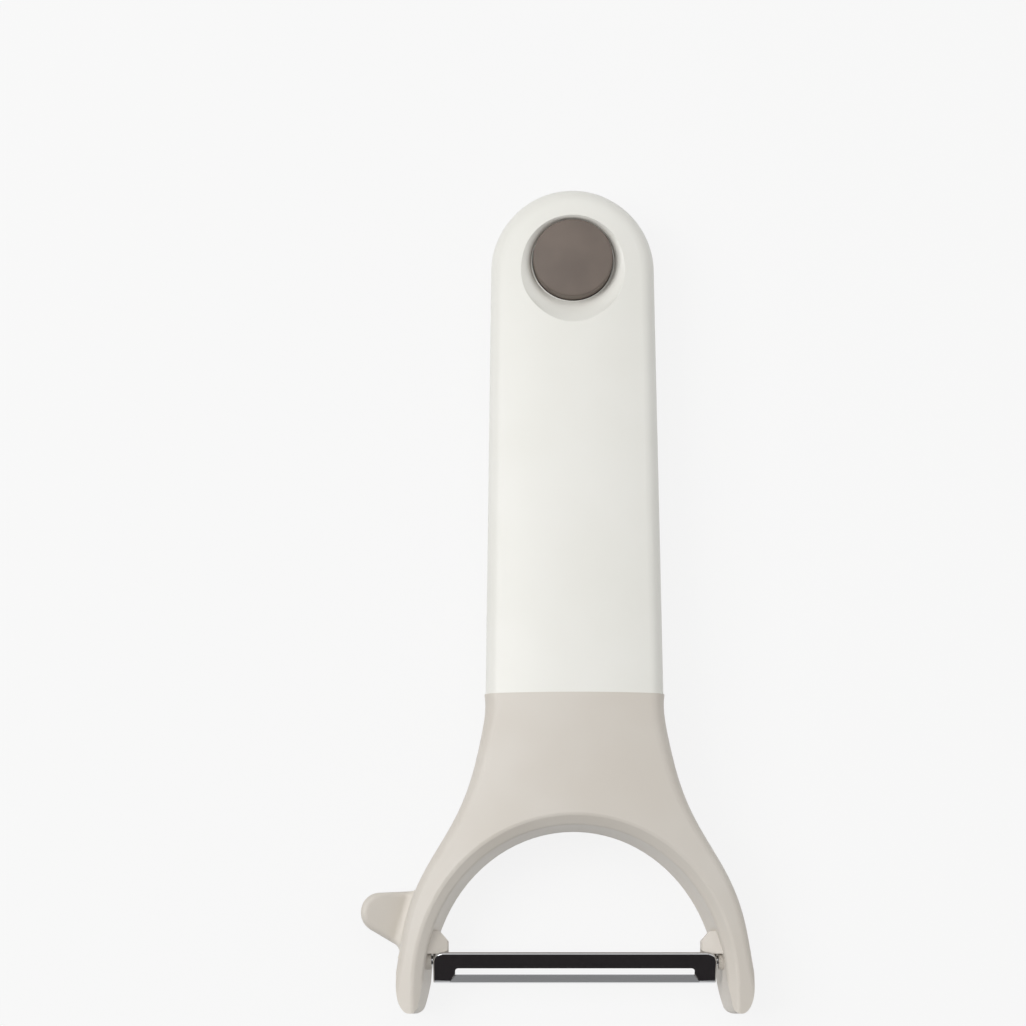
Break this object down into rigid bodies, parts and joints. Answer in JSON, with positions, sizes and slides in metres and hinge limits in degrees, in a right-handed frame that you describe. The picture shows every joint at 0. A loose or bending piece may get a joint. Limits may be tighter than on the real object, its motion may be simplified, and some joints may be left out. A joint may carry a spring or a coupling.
{
  "type": "vegetable peeler",
  "caption": "Y-shaped vegetable peeler with a white handle, a grey two-armed head with a potato-eye scoop, and a steel blade that swivels between the arms.",
  "frame": {"origin": "on the flat back, on the middle line, 46.4 mm above the joint between the white handle and the grey head", "axes": "+Z out of the front with the button, +Y towards the handle's round end, +X towards the arm without the scoop"},
  "size_m": [0.068, 0.1459, 0.0186],
  "materials": {
    "white_plastic": "warm white, smooth with a soft sheen",
    "grey_plastic": "warm light grey, satin",
    "taupe_plastic": "grey-brown, matte",
    "polished_steel": "mirror-polished stainless steel",
    "pin_steel": "plain bright steel"
  },
  "bodies": {
    "frame": {"handle_front_shell": "white_plastic", "handle_rear_shell": "white_plastic", "head_yoke": "grey_plastic", "front_button": "taupe_plastic", "rear_button": "taupe_plastic", "left_pivot_pin": "pin_steel", "right_pivot_pin": "pin_steel"},
    "swivel": {"blade": "polished_steel"}
  },
  "joints": [
    {"name": "blade_swivel", "type": "hinge", "parent": "frame", "child": "swivel", "pos_m": [0, -0.0919, 0.0072], "axis": [1, 0, 0], "range_deg": [0, 76]}
  ]
}
